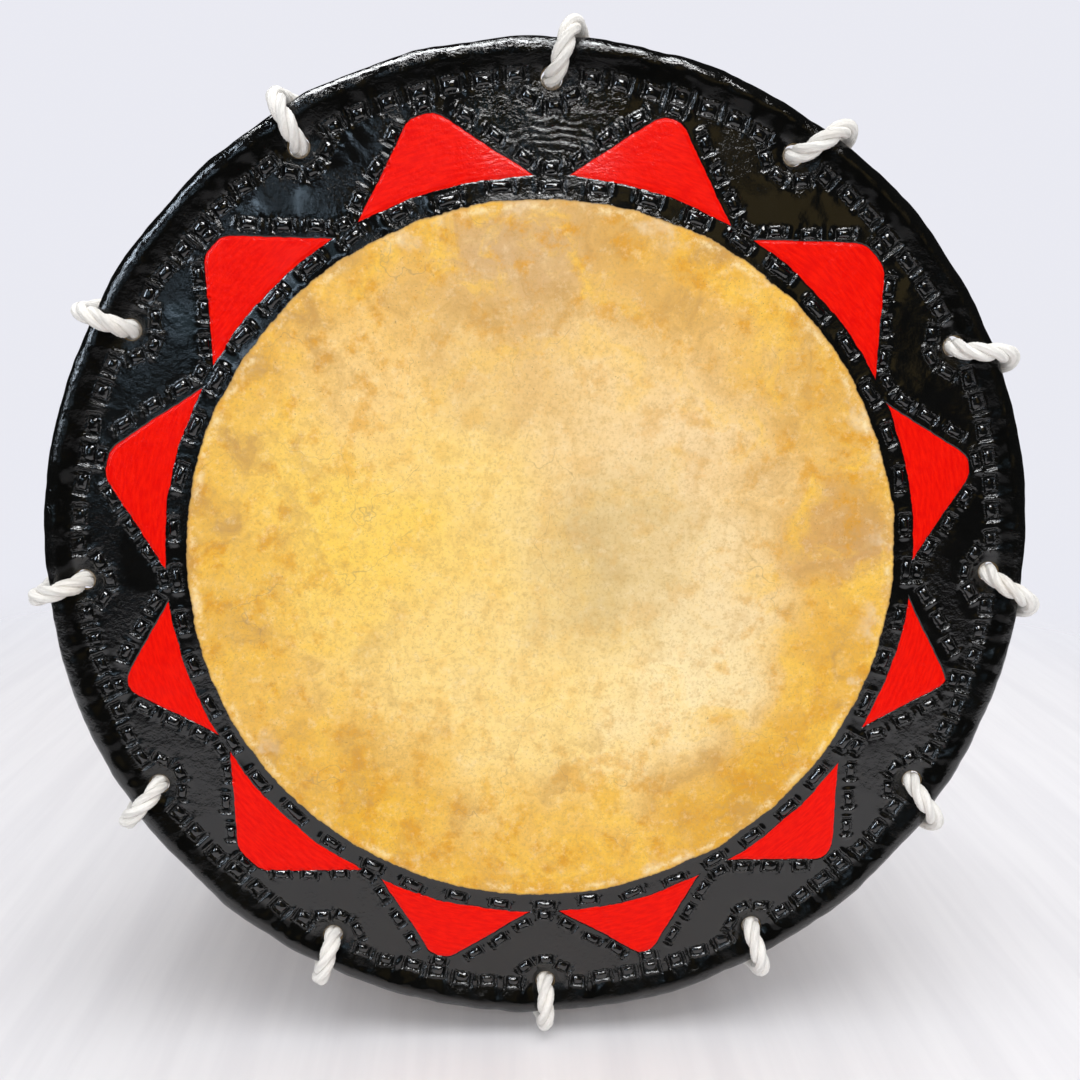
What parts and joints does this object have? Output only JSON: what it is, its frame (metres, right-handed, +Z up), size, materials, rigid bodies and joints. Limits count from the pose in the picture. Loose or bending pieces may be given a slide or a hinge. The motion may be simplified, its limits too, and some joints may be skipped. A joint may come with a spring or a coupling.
{
  "type": "rope-tensioned drum",
  "caption": "Two-headed stave drum standing on its rim, with stitched, lacquered hides over iron rings, laced with white rope.",
  "frame": {"origin": "on the floor under the middle of the drum's box, with the drum standing on its rim", "axes": "+Z up, -Y towards the player's side of the front head, +X to the right as the front head is seen"},
  "size_m": [0.5202, 0.2726, 0.5212],
  "materials": {
    "painted_hide": "natural hide in the middle, black lacquer with red triangles on the flange",
    "lacquered_lace": "gloss black lacquer over flat hide lace",
    "white_rope": "twisted cotton, matte",
    "ring_iron": "plain forged bar",
    "shell_wood": "oiled softwood, satin",
    "hoop_bamboo": "split bamboo, satin"
  },
  "bodies": {
    "root": {"front_hide": "painted_hide", "front_ring": "ring_iron", "front_rim_lace": "lacquered_lace", "front_zigzag_lace": "lacquered_lace", "front_inner_lace": "lacquered_lace", "rear_hide": "painted_hide", "rear_ring": "ring_iron", "rear_rim_lace": "lacquered_lace", "rear_zigzag_lace": "lacquered_lace", "rear_inner_lace": "lacquered_lace", "stave_01": "shell_wood", "stave_02": "shell_wood", "stave_03": "shell_wood", "stave_04": "shell_wood", "stave_05": "shell_wood", "stave_06": "shell_wood", "stave_07": "shell_wood", "stave_08": "shell_wood", "stave_09": "shell_wood", "stave_10": "shell_wood", "stave_11": "shell_wood", "stave_12": "shell_wood", "stave_13": "shell_wood", "stave_14": "shell_wood", "stave_15": "shell_wood", "stave_16": "shell_wood", "stave_17": "shell_wood", "stave_18": "shell_wood", "stave_19": "shell_wood", "stave_20": "shell_wood", "front_hoop": "hoop_bamboo", "middle_hoop": "hoop_bamboo", "rear_hoop": "hoop_bamboo", "lacing_rope": "white_rope", "rope_knot": "white_rope"}
  },
  "joints": []
}
